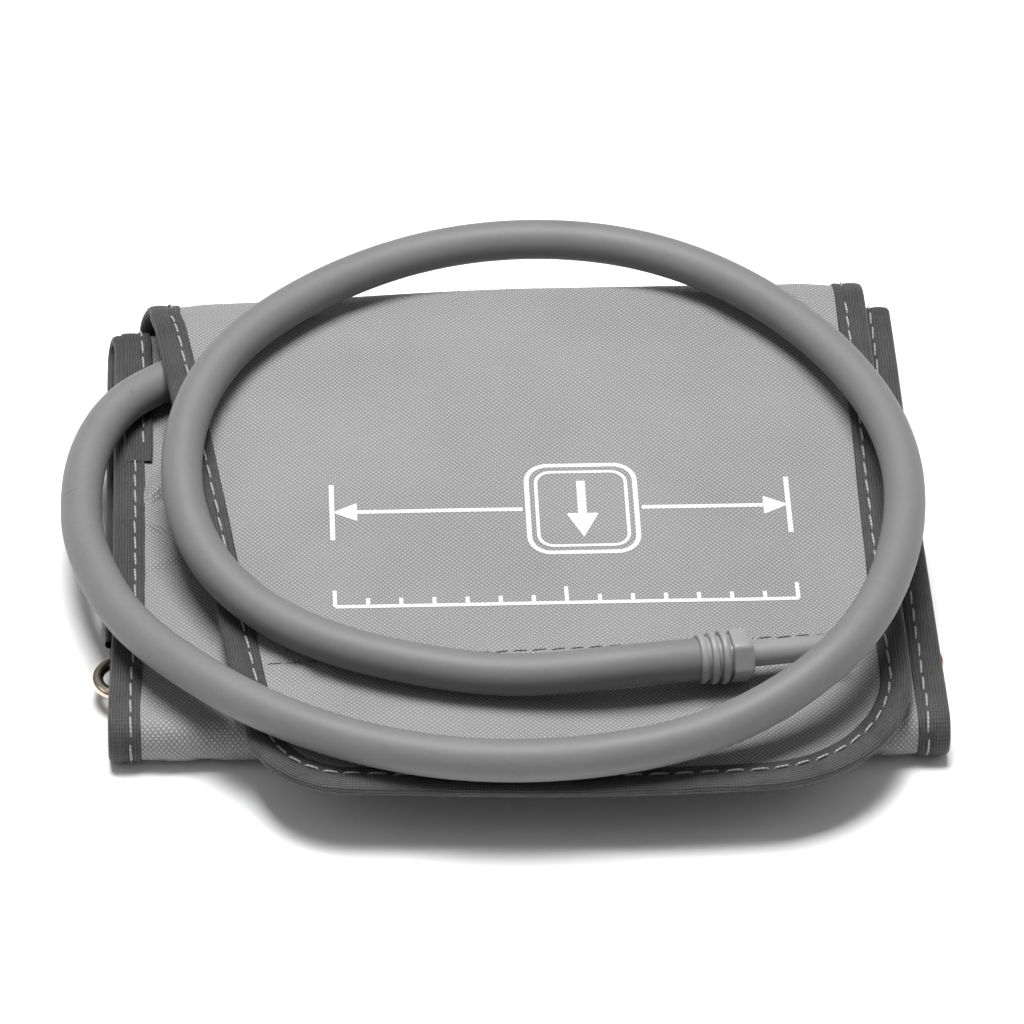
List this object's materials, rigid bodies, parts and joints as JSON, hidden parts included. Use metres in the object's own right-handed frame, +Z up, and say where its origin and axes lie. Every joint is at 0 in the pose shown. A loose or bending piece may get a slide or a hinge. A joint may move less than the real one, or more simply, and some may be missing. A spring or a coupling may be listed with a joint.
{
  "type": "blood pressure cuff",
  "caption": "Fabric upper-arm blood pressure cuff, folded flat into a roll, with cinch ring, hook-and-loop flap, and coiled air hose ending in a ribbed plug.",
  "frame": {"origin": "on the rest plane, under the middle of the rolled cuff's width; the front fold lies at -Y and the back fold at +Y", "axes": "+Z up, X across the cuff's width, -Y towards the front fold and the flap's rounded tip"},
  "size_m": [0.16, 0.1485, 0.0304],
  "materials": {
    "grey_cloth": "woven nylon",
    "black_cloth": "woven nylon",
    "edge_tape": "ribbed tape",
    "grey_thread": "twisted thread",
    "dark_thread": "twisted thread",
    "padding": "soft felt",
    "loop_cloth": "brushed loop pile",
    "hook_plastic": "hook tape",
    "bladder_film": "matte",
    "hose_rubber": "matte",
    "port_plastic": "matte",
    "plug_plastic": "satin",
    "ring_metal": "polished"
  },
  "bodies": {
    "base": {"outer_cover": "grey_cloth", "lining": "black_cloth", "bladder_upper_sheet": "bladder_film", "bladder_lower_sheet": "bladder_film", "bladder_port": "port_plastic", "port_grommet": "port_plastic", "bladder_pocket_seam": "grey_thread", "binding_left": "edge_tape", "binding_right": "edge_tape", "binding_thread_left": "grey_thread", "binding_thread_right": "grey_thread", "binding_tape_end": "edge_tape", "ring_sleeve": "black_cloth", "ring_sleeve_stitching": "grey_thread", "loop_patch": "loop_cloth", "loop_patch_thread": "grey_thread", "hose_root": "hose_rubber"},
    "ring": {"cinch_ring": "ring_metal"},
    "flap": {"flap_cover": "grey_cloth", "flap_interlining": "padding", "flap_lining": "black_cloth", "flap_binding": "edge_tape", "flap_binding_thread": "grey_thread", "hook_patch": "hook_plastic", "hook_patch_thread": "dark_thread", "hose_bend": "hose_rubber"},
    "coil": {"hose_coil": "hose_rubber"},
    "plug": {"air_plug": "plug_plastic"}
  },
  "joints": [
    {"name": "ring_swivel", "type": "hinge", "parent": "base", "child": "ring", "pos_m": [0, -0.0305, 0.0046], "axis": [-1, 0, 0], "range_deg": [-5, 8]},
    {"name": "flap_open", "type": "hinge", "parent": "base", "child": "flap", "pos_m": [0, 0.0652, 0.01005], "axis": [-1, 0, 0], "range_deg": [0, 95]},
    {"name": "coil_lift", "type": "hinge", "parent": "flap", "child": "coil", "pos_m": [-0.08, 0.002, 0.0145], "axis": [0, -1, 0], "range_deg": [0, 170]},
    {"name": "plug_swivel", "type": "hinge", "parent": "coil", "child": "plug", "pos_m": [0.0296, -0.05, 0.01935], "axis": [0.9879, 0.1512, -0.0349], "range_deg": [-180, 180]}
  ]
}
